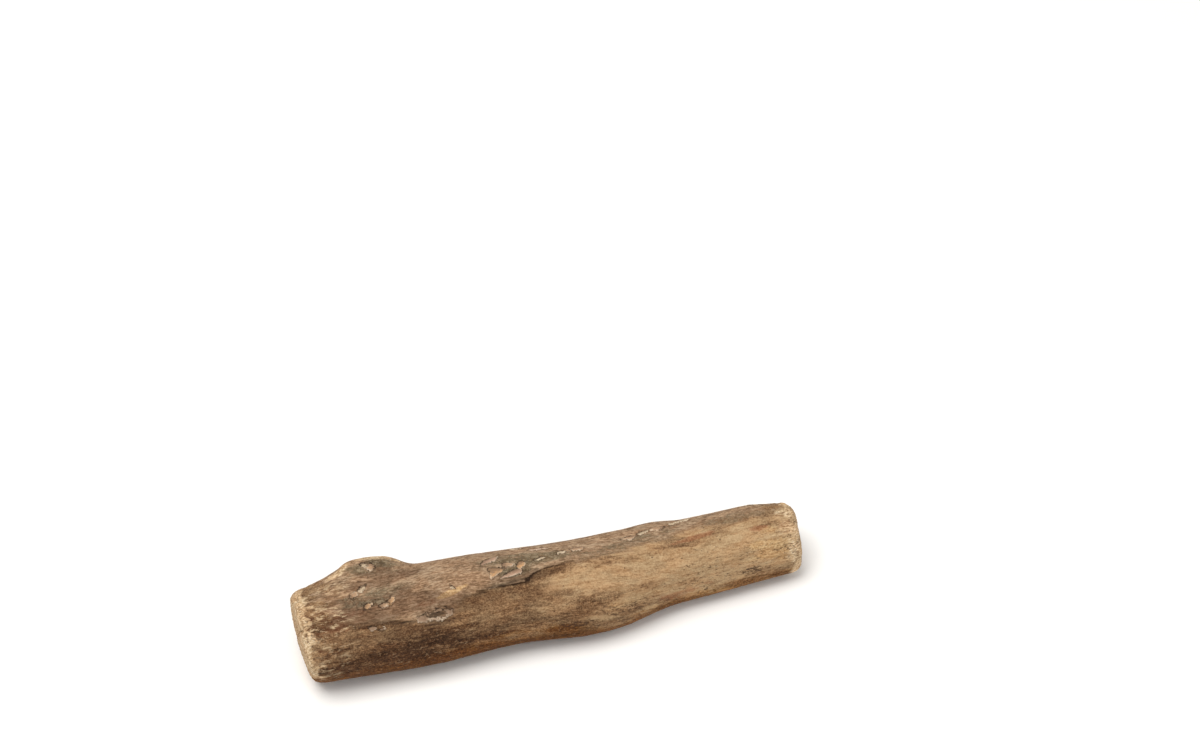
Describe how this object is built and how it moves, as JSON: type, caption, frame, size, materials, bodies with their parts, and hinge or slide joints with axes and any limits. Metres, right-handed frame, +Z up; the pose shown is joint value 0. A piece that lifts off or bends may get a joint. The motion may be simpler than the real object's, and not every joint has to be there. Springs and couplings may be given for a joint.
{
  "type": "piece of driftwood",
  "caption": "Short driftwood limb: one water-worn stick with rounded sawn ends, a broken branch collar near its thick end and a small flat foot to lie on.",
  "frame": {"origin": "middle of the bounding box's footprint, on the surface the limb lies on", "axes": "+X along the limb from its thick end to its thin end, +Z up, +Y towards the side where the branch collar stands out"},
  "size_m": [0.1522, 0.032, 0.0299],
  "materials": {
    "weathered_wood": "dry, matt, water-worn wood: grey-brown skin along the top, dark stained lower flank, bare tan wood at the thin end, pale worn sawn ends"
  },
  "bodies": {
    "root": {"driftwood": "weathered_wood"}
  },
  "joints": []
}
